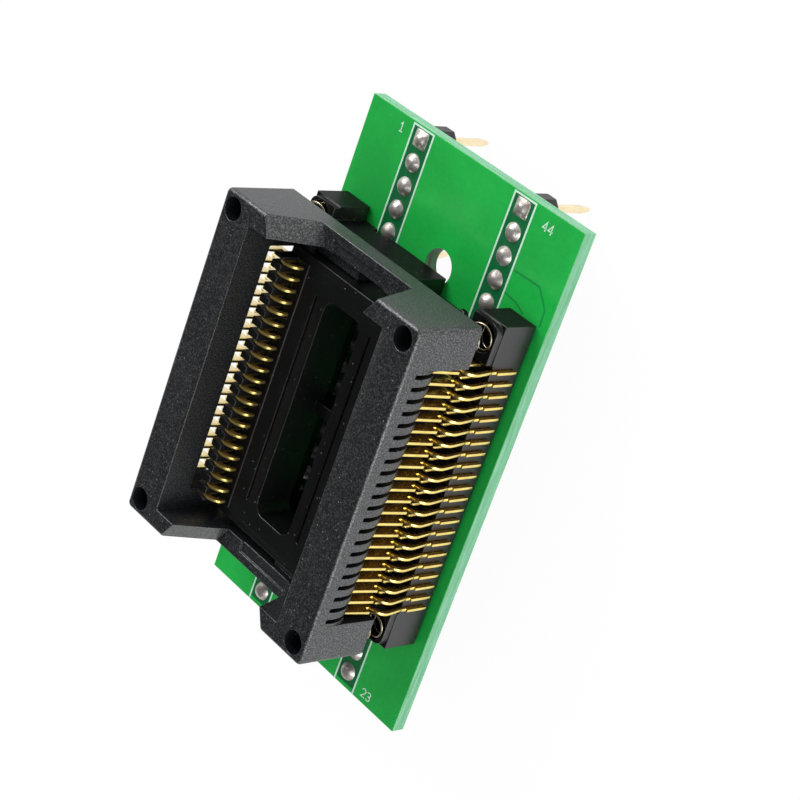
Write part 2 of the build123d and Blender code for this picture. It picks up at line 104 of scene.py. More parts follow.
def amount(name, description, default, **limits):
    """A plain number, 0 or more, that a user may change."""
    return FloatProperty(name=name, description=description, default=default, **{"min": 0.0, **limits})


class AdapterSizes(bpy.types.PropertyGroup):
    """Sizes of the pieces that aren't read from the frame."""
    pins: IntProperty(name="Pins in a row", description="Header pins in each of the two rows", default=22,
                      min=2)
    pin_pitch: length("Pin pitch", "From one header pin to the next", 2.54)
    pin_side: length("Pin side", "Side of a header pin's square section", 0.64)
    pin_tip_side: length("Pin tip side", "Side of the flat at a pin's tapered tip", 0.3)
    pin_tip: length("Pin tip length", "Length of the taper at the tip", 1.1)
    pin_edge: length("Pin edge", "Width of the drawn wire's rounded edge", 0.05)
    cell_corner: length("Cell corner", "Bevel at the corners of each header cell", 0.62)
    cell_edge: length("Cell edge", "Moulded rounding of the header cells", 0.07)
    joint_width: length("Joint width", "Width of a header pin's joint at its foot", 2.0)
    joint_height: length("Joint height", "Height of a header pin's solder joint", 0.72)
    end_joint_width: length("End joint width", "Side of the square pad at pins 1 and 44", 1.9)
    tail_joint_width: length("Tail joint width", "Width of the solder cone on a contact tail", 1.05)
    tail_joint_height: length("Tail joint height", "Height of that cone under the board", 0.7)
    solder_lump: length("Solder lump", "Depth of hand-made joints' unevenness", 0.1)
    contacts: IntProperty(name="Contacts in a row", description="Contacts on each side", default=22, min=2)
    contact_pitch: length("Contact pitch", "From one contact to the next", 1.27)
    contact_edge: length("Contact edge", "Rounding of the stamped contacts' edges", 0.035)
    legend_line: length("Legend line", "Width of the printed frames' line", 0.2)
    legend_pen: length("Legend pen", "Width of the stroke of the printed numbers", 0.11)
    legend_digit: length("Legend digit", "Height of the printed numbers", 0.95)
    ink_height: length("Ink height", "Height of the printing over the mask", 0.02)
    frame_half: length("Frame half width", "From a pin row to the line beside it", 1.5)
    relief_half: length("Relief half width", "Half the width of bare laminate at a pin row", 1.36)
    track_width: length("Track gap width", "Width of the gap beside a copper track", 0.22)
    moulded_edge: length("Moulded edge", "Rounding of the base's and cover's edges", 0.07)
    board_edge: length("Board edge", "Broken edge of the cut board", 0.06)
    wire: length("Spring wire", "Diameter of the return springs' wire", 0.22)
    spring_radius: length("Spring radius", "Mean radius of the return springs", 1.3)
    spring_turns: amount("Spring turns", "Turns of a return spring", 5.5, min=1.0)
    spring_travel: length("Spring travel", "How far the cover presses the springs", 2.0)


class AdapterColours(bpy.types.PropertyGroup):
    """Colours of the adapter's materials."""
    mask: colour("Solder mask", "Green mask over copper", "#189E3F")
    mask_gap: colour("Mask on a track gap", "The mask in the gaps beside tracks", "#128038")
    mask_dark: colour("Mask on laminate", "The mask with no copper under it", "#0D6034")
    laminate: colour("Laminate", "Cut edge of the glass-epoxy board", "#5BA074")
    laminate_pale: colour("Glass", "Pale glass bundles in the cut edge", "#80B998")
    laminate_burnt: colour("Drilled wall", "Browned wall of the drilled hole", "#3E3826")
    ink: colour("Printing", "White legend ink over green", "#C6E8D5")
    base: colour("Base plastic", "Black glass-filled plastic of the base", "#0B0C0D")
    cover: colour("Cover plastic", "Charcoal glass-filled plastic of the cover", "#0D1116")
    speck: colour("Speck", "Glass fibre and dust in the plastics", "#B9BDC4")
    header: colour("Header plastic", "Black plastic of the header strips", "#101113")
    contact: colour("Contact gold", "Thin gold on the stamped contacts' edges", "#FFE88C")
    # Pale colour for the left levers' flats: a painted reflection of the white floor
    contact_pale_reflection: colour("Left levers", "Painted pale reflection on the left levers' flats", "#F7E9BE")
    # Brown for random tarnish and, on flats facing along the row, painted shade between the contacts
    contact_tarnish_and_shade: colour("Contact flats", "Tarnish, and painted shade on the contacts' flats", "#C08E38")
    pin: colour("Pin gold", "Gold flash on the header pins", "#FFEEC6")
    pin_brown: colour("Pin tarnish", "Brass that shows through on the pins", "#B58A48")
    solder: colour("Solder", "Tin-lead solder", "#E6E1DC")
    solder_dark: colour("Flux", "Flux and oxide in the solder's hollows", "#78695E")
    wire: colour("Spring wire", "Stainless spring wire", "#BFB59C")


class StageSettings(bpy.types.PropertyGroup):
    """Light and floor of the pale stage."""
    sky: amount("Sky", "Strength of the even light from all round", 0.88)
    ceiling: amount("Ceiling", "Brightness of the ceiling in reflections", 0.05, max=1.0)
    key: amount("Key lamp", "Power of the large soft lamp", 1.7, unit="POWER")
    fill: amount("Fill lamp", "Power of the lamp on the other side", 1.1, unit="POWER")
    floor: colour("Floor", "Colour of the floor", "#F4F4F4")
    glow: amount("Glow", "Share of the floor shown as plain white", 0.95, max=1.0)


def chosen(context):
    """The sizes and the colours as the user has them."""
    return context.scene.adapter_sizes, context.scene.adapter_colours


# Helpers for meshes

def new_piece(name, mesh):
    """Links a mesh to the scene as a new object at the origin."""
    piece = bpy.data.objects.new(name, mesh)
    bpy.context.scene.collection.objects.link(piece)
    return piece


def finished(bm, name, materials=()):
    """Turns a bmesh into a piece that is smooth but for its sharper edges."""
    for face in bm.faces:
        face.smooth = True
    for edge in bm.edges:
        edge.smooth = edge.is_manifold and edge.calc_face_angle(0.0) < CREASE_ANGLE
    mesh = bpy.data.meshes.new(name)
    bm.to_mesh(mesh)
    bm.free()
    for material in materials:
        mesh.materials.append(material)
    return new_piece(name, mesh)


def packed_copy(node):
    """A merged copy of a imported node's shape, with its flat faces whole again."""
    bm = bmesh.new()
    bm.from_mesh(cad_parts[node].data)
    bmesh.ops.remove_doubles(bm, verts=bm.verts, dist=MERGE_DISTANCE)
    bmesh.ops.dissolve_limit(bm, angle_limit=FLAT_ANGLE, verts=bm.verts, edges=bm.edges)
    for face in bm.faces:
        face.material_index = 0
    return bm


def sharp_edges(bm):
    """The edges that turn by more than the crease angle."""
    return [e for e in bm.edges if e.is_manifold and abs(e.calc_face_angle_signed(0.0)) > CREASE_ANGLE]


def round_edges(bm, edges, width, segments=1):
    """Breaks sharp edges by a small width."""
    bmesh.ops.bevel(bm, geom=edges, offset=width, segments=segments, profile=0.6, affect="EDGES",
                    clamp_overlap=True)


def box_in(bm, low, high):
    """Adds a closed box between two corners."""
    size = Vector(high) - Vector(low)
    middle = (Vector(high) + Vector(low)) / 2
    made = bmesh.ops.create_cube(bm, size=1.0)
    bmesh.ops.transform(bm, matrix=Matrix.Translation(middle) @ Matrix.Diagonal((*size, 1.0)),
                        verts=made["verts"])


def stack_in(bm, levels):
    """Adds a closed upright shape from (outline, height) levels with as many corners each."""
    rings = [[bm.verts.new((x, y, height)) for x, y in outline] for outline, height in levels]
    for a, b in zip(rings, rings[1:]):
        for i in range(len(a)):
            j = (i + 1) % len(a)
            bm.faces.new((a[i], a[j], b[j], b[i]))
    bm.faces.new(reversed(rings[0]))
    bm.faces.new(rings[-1])
    bm.normal_update()


def ribbon_in(bm, points, width, low, high):
    """Adds a flat raised line of even width along points, with mitred corners."""
    sharpest = 0.35
    rings = []
    for i, point in enumerate(points):
        here = Vector(point)
        before = here - Vector(points[i - 1]) if i else None
        after = Vector(points[i + 1]) - here if i < len(points) - 1 else None
        first = (before or after).normalized()
        second = (after or before).normalized()
        side = Vector((-first.y - second.y, first.x + second.x)).normalized()
        reach = width / 2 / max(sharpest, side.dot(Vector((-second.y, second.x))))
        left, right = here + side * reach, here - side * reach
        rings.append([bm.verts.new((*left, low)), bm.verts.new((*right, low)),
                      bm.verts.new((*right, high)), bm.verts.new((*left, high))])
    for a, b in zip(rings, rings[1:]):
        for k in range(4):
            bm.faces.new((a[k], b[k], b[(k + 1) % 4], a[(k + 1) % 4]))
    bm.faces.new(rings[0])
    bm.faces.new(reversed(rings[-1]))


def hill_in(bm, outline, segments):
    """Adds a closed turned shape from (radius, height) points, the last of them on the axis."""
    foot = bm.verts.new((0, 0, outline[0][1]))
    top = bm.verts.new((0, 0, outline[-1][1]))
    turns = [2 * pi * i / segments for i in range(segments)]
    rings = [[bm.verts.new((radius * cos(turn), radius * sin(turn), height)) for turn in turns]
             for radius, height in outline[:-1]]
    for i in range(segments):
        j = (i + 1) % segments
        bm.faces.new((foot, rings[0][j], rings[0][i]))
        for a, b in zip(rings, rings[1:]):
            bm.faces.new((a[i], a[j], b[j], b[i]))
        bm.faces.new((rings[-1][i], rings[-1][j], top))


# Helpers for nodes

MATH, VECTOR_MATH, RANGE = "ShaderNodeMath", "ShaderNodeVectorMath", "ShaderNodeMapRange"
NOISE, BUMP, MIX = "ShaderNodeTexNoise", "ShaderNodeBump", "ShaderNodeMix"
SPLIT, JOIN = "ShaderNodeSeparateXYZ", "ShaderNodeCombineXYZ"
WHITE = (1.0, 1.0, 1.0, 1.0)

# The values that a noise has over most of a surface, as the From ends of a Map Range node
MOST = {1: 0.3, 2: 0.7}


def feed(node, inputs):
    """Sets or links a node's inputs. A node among them stands for its first output."""
    for key, value in inputs.items():
        if isinstance(value, bpy.types.Node):
            value = value.outputs[0]
        if isinstance(value, bpy.types.NodeSocket):
            node.id_data.links.new(value, node.inputs[key])
        else:
            node.inputs[key].default_value = value
    return node


def add_node(tree, kind, inputs=None, **settings):
    """Adds a node, sets its properties, and sets or links its inputs."""
    node = tree.nodes.new(kind)
    for key, value in settings.items():
        setattr(node, key, value)
    return feed(node, inputs or {})


def new_tree(name, sockets):
    """A Geometry Nodes tree, what adds a node to it, and its named inputs."""
    tree = bpy.data.node_groups.new(name, "GeometryNodeTree")
    tree.is_modifier = True
    for label, kind in {"Geometry": "Geometry", **sockets}.items():
        tree.interface.new_socket(label, in_out="INPUT", socket_type="NodeSocket" + kind)
    tree.interface.new_socket("Geometry", in_out="OUTPUT", socket_type="NodeSocketGeometry")
    add = partial(add_node, tree)
    return tree, add, add("NodeGroupInput").outputs


def row_tree():
    """A row of copies of one piece, whose tops may each be a little uneven in their own way."""
    name = "Row of like pieces"
    if name in bpy.data.node_groups:
        return bpy.data.node_groups[name]
    tree, add, given = new_tree(name, {
        "Piece": "Object", "Count": "Int", "Start": "Vector", "Step": "Vector", "Turn": "Float",
        "Lump size": "Float", "Lump depth": "Float", "Lump floor": "Float", "Seed": "Int",
        "Finish": "Material"})
    piece = add("GeometryNodeObjectInfo", {"Object": given["Piece"]}).outputs["Geometry"]
    line = add("GeometryNodeMeshLine",
               {"Count": given["Count"], "Start Location": given["Start"], "Offset": given["Step"]})
    turn = add("FunctionNodeRandomValue", {3: given["Turn"], "Seed": given["Seed"]})
    turned = add(JOIN, {"Z": turn.outputs[1]})
    copies = add("GeometryNodeInstanceOnPoints", {"Points": line, "Instance": piece, "Rotation": turned})
    real = add("GeometryNodeRealizeInstances", {"Geometry": copies})
    place = add("GeometryNodeInputPosition")
    lumps = add(NOISE, {"Vector": place, "Scale": given["Lump size"], "Detail": 1.5})
    centred = add(MATH, {0: lumps, 1: 0.5}, operation="SUBTRACT")
    depth = add(MATH, {0: centred, 1: given["Lump depth"]}, operation="MULTIPLY")
    height = add(SPLIT, {0: place}).outputs["Z"]
    raised = add(MATH, {0: height, 1: given["Lump floor"]}, operation="GREATER_THAN")
    normal = add("GeometryNodeInputNormal")
    shift = add(VECTOR_MATH, {0: normal, "Scale": depth}, operation="SCALE")
    uneven = add("GeometryNodeSetPosition", {"Geometry": real, "Selection": raised, "Offset": shift})
    finish = add("GeometryNodeSetMaterial", {"Geometry": uneven, "Material": given["Finish"]})
    add("NodeGroupOutput", {"Geometry": finish})
    return tree


def made_by(tree, name, values):
    """Runs a tree on an empty object and keeps the result as a plain mesh."""
    piece = new_piece(name, bpy.data.meshes.new(name))
    modifier = piece.modifiers.new(tree.name, "NODES")
    modifier.node_group = tree
    for item in tree.interface.items_tree:
        if item.item_type == "SOCKET" and item.in_out == "INPUT" and item.name in values:
            modifier[item.identifier] = values[item.name]
    evaluated = piece.evaluated_get(bpy.context.evaluated_depsgraph_get())
    mesh = bpy.data.meshes.new_from_object(evaluated)
    if not mesh.polygons:
        raise RuntimeError(name + " came out empty")
    piece.modifiers.clear()
    piece.data = mesh
    mesh.name = name
    return piece


def in_row(name, template, finish, count, start, step, turn=0.0, lump=(1.0, 0.0, 0.0), seed=1):
    """Repeats a template along Y and removes it. A lump is its size, depth and lowest place."""
    size, depth, floor = lump
    piece = made_by(row_tree(), name, {
        "Piece": template, "Count": count, "Start": list(start), "Step": [0.0, step, 0.0], "Turn": turn,
        "Lump size": 1.0 / size, "Lump depth": depth, "Lump floor": floor, "Seed": seed, "Finish": finish})
    bpy.data.objects.remove(template)
    return piece


def dressed(piece, slot, *nodes, body="board_and_base"):
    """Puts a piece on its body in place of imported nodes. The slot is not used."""
    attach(piece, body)
    if nodes:
        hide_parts(*nodes)


# Materials

def new_material(name):
    """A material, what adds a node to it, its shader, and its patterns' place in metres on the object."""
    material = bpy.data.materials.new(name)
    material.use_nodes = True
    material.node_tree.nodes.clear()
    add = partial(add_node, material.node_tree)
    shader = add("ShaderNodeBsdfPrincipled")
    add("ShaderNodeOutputMaterial", {"Surface": shader})
    return material, add, shader, add("ShaderNodeTexCoord").outputs["Object"]


def per_metre(millimetres):
    """The scale of a pattern whose grains are this far apart."""
    return 1.0 / (millimetres * MM)


def facing(add):
    """How much the surface faces along the pin rows, to either side, and how much upwards."""
    split = add(SPLIT, {0: add("ShaderNodeTexCoord").outputs["Normal"]}).outputs
    return add(MATH, {0: split["Y"]}, operation="ABSOLUTE"), split["Z"]


def varied(add, base, first, first_share, second, second_share):
    """A colour whose brightness goes up and down by a share with each of two noises."""
    tones = [add(RANGE, {**MOST, 0: noise, 3: 1.0 - share, 4: 1.0 + share})
             for noise, share in ((first, first_share), (second, second_share))]
    level = add(MATH, dict(enumerate(tones)), operation="MULTIPLY")
    return add(VECTOR_MATH, {0: base[:3], "Scale": level}, operation="SCALE")


def dusted(add, place, body, dust, grain, radii, peak, channel, chosen, most):
    """Dust on a body colour: round dots, a grain apart in millimetres, of which some are chosen."""
    dots = add("ShaderNodeTexVoronoi", {"Vector": place, "Scale": per_metre(grain)}).outputs
    small = add(RANGE, {0: dots["Distance"], 1: radii[0], 2: radii[1], 3: peak, 4: 0.0})
    pick = add("ShaderNodeSeparateColor", {0: dots["Color"]}).outputs[channel]
    few = add(RANGE, {0: pick, 1: chosen[0], 2: chosen[1], 4: most})
    share = add(MATH, {0: small, 1: few}, operation="MULTIPLY")
    return add(MIX, {0: share, 6: body, 7: dust}, data_type="RGBA").outputs[2]


def moulded_plastic(name, base, speck, roughness, ior, specks, grain_depth, sheen=0.2, ends=0.0, tops=0.0):
    """Glass-filled plastic off a spark-eroded mould: matt, with a fine grain, a satin sheen at low angles,
    and pale glass ends and dust. End faces and tops may reflect less, as painted shade that darkens those
    sides."""
    material, add, shader, place = new_material(name)
    grain = add(NOISE, {"Vector": place, "Scale": per_metre(0.16), "Detail": 3.0})
    broad = add(NOISE, {"Vector": place, "Scale": per_metre(4.0), "Detail": 2.0})
    body = varied(add, base, broad, 0.22, grain, 0.38)
    mixed = dusted(add, place, body, speck, 0.3, (0.08, 0.3), 1.0, 0, (1.0 - specks, 1.0), 0.45)
    dull = add(RANGE, {**MOST, 0: grain, 3: roughness - 0.08, 4: roughness + 0.1})
    glint_and_painted_shade = add(RANGE, {0: grain, 1: 0.46, 2: 0.68, 3: 0.5 - sheen / 3, 4: 0.5 + sheen * 2})
    # Painted shade: faces that look along the rows (ends) and faces that look up (tops) reflect less, so
    # those sides render darker
    for direction, loss in zip(facing(add), (ends, tops)):
        painted_shade_factor = add(RANGE, {0: direction, 1: 0.7, 2: 0.95, 3: 1.0, 4: 1.0 - loss})
        glint_and_painted_shade = add(MATH, {0: glint_and_painted_shade, 1: painted_shade_factor}, operation="MULTIPLY")
    bump = add(BUMP, {"Height": grain, "Strength": 0.55, "Distance": grain_depth * MM})
    feed(shader, {"Base Color": mixed, "Roughness": dull, "IOR": ior, "Specular IOR Level": glint_and_painted_shade,
                  "Normal": bump})
    return material


def solder_mask(name, base):
    """Glossy photo-imaged mask on copper and glass cloth: wet-looking, its weave barely shows, dusty."""
    material, add, shader, place = new_material(name)
    weave = add("ShaderNodeTexWave", {"Vector": place, "Scale": per_metre(3.2), "Distortion": 1.0},
                bands_direction="DIAGONAL")
    flow = add(NOISE, {"Vector": place, "Scale": per_metre(6.0), "Detail": 2.0})
    pit = add(NOISE, {"Vector": place, "Scale": per_metre(0.35), "Detail": 2.0})
    body = varied(add, base, flow, 0.1, pit, 0.04)
    mixed = dusted(add, place, body, linear("#C9E9C6"), 1.3, (0.015, 0.06), 0.5, 1, (0.86, 0.95), 1.0)
    waves = add(MATH, {0: weave.outputs[1], 1: pit}, operation="ADD")
    bump = add(BUMP, {"Height": waves, "Strength": 0.25, "Distance": 0.02 * MM})
    feed(shader, {"Base Color": mixed, "Roughness": 0.24, "IOR": 1.5, "Coat Weight": 0.35,
                  "Coat Roughness": 0.12, "Normal": bump})
    return material


def cut_laminate(name, resin, glass):
    """Sawn glass-epoxy: matt, a little translucent, with its plies of cloth as fine pale lines."""
    material, add, shader, place = new_material(name)
    split = add(SPLIT, {0: place}).outputs
    along = add(MATH, {0: split["X"], 1: split["Y"]}, operation="ADD")
    flat = add(JOIN, {"X": along, "Z": split["Z"]})
    sized = add(VECTOR_MATH, {0: flat, 1: (0.25, 1.0, 3.0)}, operation="MULTIPLY")
    plies = add(NOISE, {"Vector": sized, "Scale": per_metre(1.1), "Detail": 4.0})
    fray = add(NOISE, {"Vector": place, "Scale": per_metre(0.3), "Detail": 3.0})
    share = add(RANGE, {0: plies, 1: 0.35, 2: 0.7})
    mixed = add(MIX, {0: share, 6: resin, 7: glass}, data_type="RGBA").outputs[2]
    bump = add(BUMP, {"Height": fray, "Strength": 0.5, "Distance": 0.05 * MM})
    feed(shader, {"Base Color": mixed, "Roughness": 0.55, "IOR": 1.5, "Subsurface Weight": 0.15,
                  "Subsurface Radius": (0.4 * MM, 0.8 * MM, 0.5 * MM), "Subsurface Scale": 1.0,
                  "Normal": bump})
    return material


def legend_ink(name, base):
    """Screen-printed epoxy ink: flat white, tinted by the green under it, with a grainy edge."""
    material, add, shader, place = new_material(name)
    grain = add(NOISE, {"Vector": place, "Scale": per_metre(0.12), "Detail": 3.0})
    worn = add(RANGE, {0: grain, 1: 0.3, 2: 0.75, 3: 0.72, 4: 1.0})
    body = add(VECTOR_MATH, {0: base[:3], "Scale": worn}, operation="SCALE")
    feed(shader, {"Base Color": body, "Roughness": 0.5, "IOR": 1.5})
    return material


# Where the pale painted reflection on the levers' flats begins and is full, from the middle of the socket
PALE_REFLECTION_REACH = {1: 12.1 * MM, 2: 12.5 * MM}


def gold_plate(name, gold, under, roughness, tarnish, flats=0.0, levers=None):
    """Thin gold over nickel and bronze: a warm mirror with fine drawing lines, browner where it is thin.
    Flats that face along the row take the under colour and less metal, as painted shade between
    neighbouring contacts, and on the levers that colour may be a pale painted reflection instead."""
    material, add, shader, place = new_material(name)
    # Painted shade: flats facing along the row get the under colour and less metal
    flat = add(RANGE, {0: facing(add)[0], 1: 0.6, 2: 0.9, 4: flats})
    cloud = add(NOISE, {"Vector": place, "Scale": per_metre(0.9), "Detail": 3.0})
    lines = add(VECTOR_MATH, {0: place, 1: (1.0, 6.0, 0.35)}, operation="MULTIPLY")
    draw = add(NOISE, {"Vector": lines, "Scale": per_metre(0.15), "Detail": 2.0})
    thin = add(RANGE, {0: cloud, 1: 0.42, 2: 0.75, 4: tarnish})
    tarnish_and_painted_shade = add(MATH, {0: thin, 1: flat}, operation="MAXIMUM")
    if levers:
        # Painted reflection: beyond this reach from the middle, the flats' colour turns to the pale lever
        # colour
        across = add(MATH, {0: add(SPLIT, {0: place})}, operation="ABSOLUTE")
        outside = add(RANGE, {**PALE_REFLECTION_REACH, 0: across})
        under = add(MIX, {0: outside, 6: under, 7: levers}, data_type="RGBA").outputs[2]
    mixed = add(MIX, {0: tarnish_and_painted_shade, 6: gold, 7: under}, data_type="RGBA").outputs[2]
    metal = add(RANGE, {0: flat, 3: 1.0, 4: 0.85}) if flats else 1.0
    dull = add(RANGE, {**MOST, 0: draw, 3: roughness - 0.06, 4: roughness + 0.08})
    bump = add(BUMP, {"Height": draw, "Strength": 0.1, "Distance": 0.01 * MM})
    feed(shader, {"Base Color": mixed, "Metallic": metal, "Roughness": dull, "Normal": bump})
    return material


def tin_solder(name, bright, flux):
    """Hand-soldered tin-lead: bright on its crowns, pitted where it cooled slowly, with brown flux."""
    material, add, shader, place = new_material(name)
    cloud = add(NOISE, {"Vector": place, "Scale": per_metre(0.8), "Detail": 4.0})
    grain = add(NOISE, {"Vector": place, "Scale": per_metre(0.18), "Detail": 3.0})
    share = add(RANGE, {0: cloud, 1: 0.42, 2: 0.68, 4: 0.7})
    mixed = add(MIX, {0: share, 6: bright, 7: flux}, data_type="RGBA").outputs[2]
    dull = add(RANGE, {0: cloud, 1: 0.35, 2: 0.65, 3: 0.34, 4: 0.58})
    both = add(MATH, {0: cloud, 1: grain}, operation="ADD")
    bump = add(BUMP, {"Height": both, "Strength": 0.45, "Distance": 0.06 * MM})
    feed(shader, {"Base Color": mixed, "Metallic": 0.9, "Roughness": dull, "Normal": bump})
    return material


def spring_wire(name, steel):
    """Drawn stainless wire: bright, with die lines that stretch its highlights."""
    material, add, shader, place = new_material(name)
    lines = add(NOISE, {"Vector": place, "Scale": per_metre(0.25), "Detail": 3.0})
    dull = add(RANGE, {**MOST, 0: lines, 3: 0.16, 4: 0.32})
    tone = add(RANGE, {**MOST, 0: lines, 3: 0.8, 4: 1.0})
    body = add(VECTOR_MATH, {0: steel[:3], "Scale": tone}, operation="SCALE")
    feed(shader, {"Base Color": body, "Metallic": 1.0, "Roughness": dull})
    return material


# The board

# The gaps beside two tracks, and the pin numbers' lower left corners, in millimetres from the middle
TRACK_GAPS = (((9.4, 21.2), (11.4, 21.3), (13.0, 21.3), (14.0, 20.3), (14.6, 19.6), (14.7, 17.9)),
              ((9.2, 18.8), (11.0, 18.6), (12.3, 18.05)))
PIN_NUMBERS = (("1", -10.95, 26.45), ("44", 10.75, 26.2), ("23", 10.25, -27.6))

# How far the bare laminate ends from the last pins' cells, and how far the printed frame stays inside
RELIEF_LOW, RELIEF_HIGH, FRAME_INSIDE = -0.1 * MM, -0.05 * MM, 0.15 * MM

# Strokes on a square one digit high, and the step from digit to digit
DIGIT_STROKES = {
    "1": [[(0.1, 0.75), (0.35, 1.0), (0.35, 0.0)], [(0.1, 0.0), (0.6, 0.0)]],
    "2": [[(0.0, 0.78), (0.1, 0.94), (0.3, 1.0), (0.5, 0.94), (0.6, 0.76), (0.52, 0.52), (0.0, 0.0),
           (0.6, 0.0)]],
    "3": [[(0.02, 0.86), (0.2, 1.0), (0.44, 0.98), (0.57, 0.8), (0.48, 0.6), (0.26, 0.53), (0.48, 0.47),
           (0.6, 0.27), (0.48, 0.06), (0.22, 0.0), (0.0, 0.14)]],
    "4": [[(0.45, 0.0), (0.45, 1.0), (0.0, 0.32), (0.62, 0.32)]],
}
DIGIT_ADVANCE = 0.82


def past_edge(point):
    """How far a point lies outside the board's outline. Inside, it is less than nothing."""
    return max(abs(point.x) - BOARD_HIGH.x, abs(point.y) - BOARD_HIGH.y)


def board_face_index(face):
    """Mask on the two faces, cut laminate at the sides, drilled wall in the holes."""
    if abs(face.normal.z) > 0.7:
        return 0
    return 1 if past_edge(face.calc_center_median()) > -0.2 * MM else 2


class ADAPTER_OT_board(bpy.types.Operator):
    """Builds the masked circuit board with its copper relief and its printing"""
    bl_idname = "adapter.board"
    bl_label = "Circuit board"

    def execute(self, context):
        sizes, colours = chosen(context)
        finishes = [solder_mask("Green solder mask over copper", colours.mask),
                    cut_laminate("Cut glass-epoxy laminate", colours.laminate, colours.laminate_pale),
                    cut_laminate("Drilled glass-epoxy wall", colours.laminate_burnt, colours.laminate)]
        bm = packed_copy("circuit_board")
        outline = [e for e in sharp_edges(bm) if all(past_edge(v.co) > -0.01 * MM for v in e.verts)]
        round_edges(bm, outline, sizes.board_edge)
        for face in bm.faces:
            face.material_index = board_face_index(face)
        dressed(finished(bm, "board_laminate", finishes), "board", "circuit_board")
        self.relief(sizes, colours)
        self.printing(sizes, colours)
        return {"FINISHED"}

    def relief(self, sizes, colours):
        """Darker mask where the copper is cut away: round the pin rows and beside two tracks."""
        bm = bmesh.new()
        low, high = BOARD_TOP - 0.01 * MM, BOARD_TOP + sizes.ink_height / 2
        reach = sizes.pins / 2 * sizes.pin_pitch
        for _, side in SIDES:
            x = side * ROW_X
            box_in(bm, (x - sizes.relief_half, ROW_Y - reach + RELIEF_LOW, low),
                   (x + sizes.relief_half, ROW_Y + reach + RELIEF_HIGH, high))
        wide = len(bm.faces)
        for bends in TRACK_GAPS:
            ribbon_in(bm, [(x * MM, y * MM) for x, y in bends], sizes.track_width, low, high)
        bmesh.ops.recalc_face_normals(bm, faces=bm.faces)
        bm.faces.ensure_lookup_table()
        for face in bm.faces[wide:]:
            face.material_index = 1
        finishes = [solder_mask("Green solder mask over laminate", colours.mask_dark),
                    solder_mask("Green solder mask in a track gap", colours.mask_gap)]
        dressed(finished(bm, "board_copper_relief", finishes), "board")

    def printing(self, sizes, colours):
        """White frames round the pin rows, open at the board's -Y edge, and the end pins' numbers."""
        bm = bmesh.new()
        low, high = BOARD_TOP, BOARD_TOP + sizes.ink_height
        end = ROW_Y + sizes.pins / 2 * sizes.pin_pitch - FRAME_INSIDE
        start = BOARD_LOW.y + sizes.board_edge
        for _, side in SIDES:
            near, far = side * ROW_X - sizes.frame_half, side * ROW_X + sizes.frame_half
            corners = [(near, start), (near, end), (far, end), (far, start)]
            ribbon_in(bm, corners, sizes.legend_line, low, high)
        tall = sizes.legend_digit
        for number, x, y in PIN_NUMBERS:
            for place, digit in enumerate(number):
                left = x * MM + place * DIGIT_ADVANCE * tall
                for stroke in DIGIT_STROKES[digit]:
                    points = [(left + u * tall, y * MM + v * tall) for u, v in stroke]
                    ribbon_in(bm, points, sizes.legend_pen, low, high)
        bmesh.ops.recalc_face_normals(bm, faces=bm.faces)
        dressed(finished(bm, "board_legend", [legend_ink("White legend ink", colours.ink)]), "board")


# Header pins and strips

def pin_ends(sizes):
    """Where the first and the last pin of a row stand along Y."""
    reach = (sizes.pins - 1) / 2 * sizes.pin_pitch
    return ROW_Y - reach, ROW_Y + reach


def pin_template(sizes):
    """A square drawn pin with a tapered tip, standing on its tip, with rounded edges."""
    bm = bmesh.new()
    height = PINS_HIGH.z - PINS_LOW.z
    square = ((-0.5, -0.5), (0.5, -0.5), (0.5, 0.5), (-0.5, 0.5))
    levels = ((sizes.pin_tip_side, 0.0), (sizes.pin_side, sizes.pin_tip), (sizes.pin_side, height))
    stack_in(bm, [([(x * side, y * side) for x, y in square], z) for side, z in levels])
    round_edges(bm, sharp_edges(bm), sizes.pin_edge, 2)
    return finished(bm, "pin_template")


def cell_template(sizes):
    """One eight-sided cell of a header strip on its lower face, sharp where it meets the next."""
    bm = bmesh.new()
    x = (STRIP_HIGH.x - STRIP_LOW.x) / 2
    y = sizes.pin_pitch / 2
    cut = sizes.cell_corner
    corners = ((x, cut - y), (x, y - cut), (x - cut, y), (cut - x, y),
               (-x, y - cut), (-x, cut - y), (cut - x, -y), (x - cut, -y))
    stack_in(bm, ((corners, 0.0), (corners, STRIP_HIGH.z - STRIP_LOW.z)))
    edges = [e for e in sharp_edges(bm) if any(abs(abs(v.co.y) - y) > MERGE_DISTANCE / 2 for v in e.verts)]
    round_edges(bm, edges, sizes.cell_edge, 2)
    return finished(bm, "cell_template")


class ADAPTER_OT_header(bpy.types.Operator):
    """Builds the two header strips and their rows of pins"""
    bl_idname = "adapter.header"
    bl_label = "Header strips and pins"

    def execute(self, context):
        sizes, colours = chosen(context)
        gold = gold_plate("Gold flash on brass pins", colours.pin, colours.pin_brown, 0.3, 0.2)
        plastic = moulded_plastic("Black moulded header plastic", colours.header, colours.speck,
                                  roughness=0.42, ior=1.5, specks=0.02, grain_depth=0.02)
        first, _ = pin_ends(sizes)
        for name, side in SIDES:
            x = side * ROW_X
            pins = in_row("pins_" + name, pin_template(sizes), gold, sizes.pins, (x, first, PINS_LOW.z),
                          sizes.pin_pitch)
            dressed(pins, "pin_gold", "header_pins_" + name)
            cells = in_row("strip_" + name, cell_template(sizes), plastic, sizes.pins,
                           (x, first, STRIP_LOW.z), sizes.pin_pitch)
            dressed(cells, "header_plastic", "header_strip_" + name)
        return {"FINISHED"}


# Solder

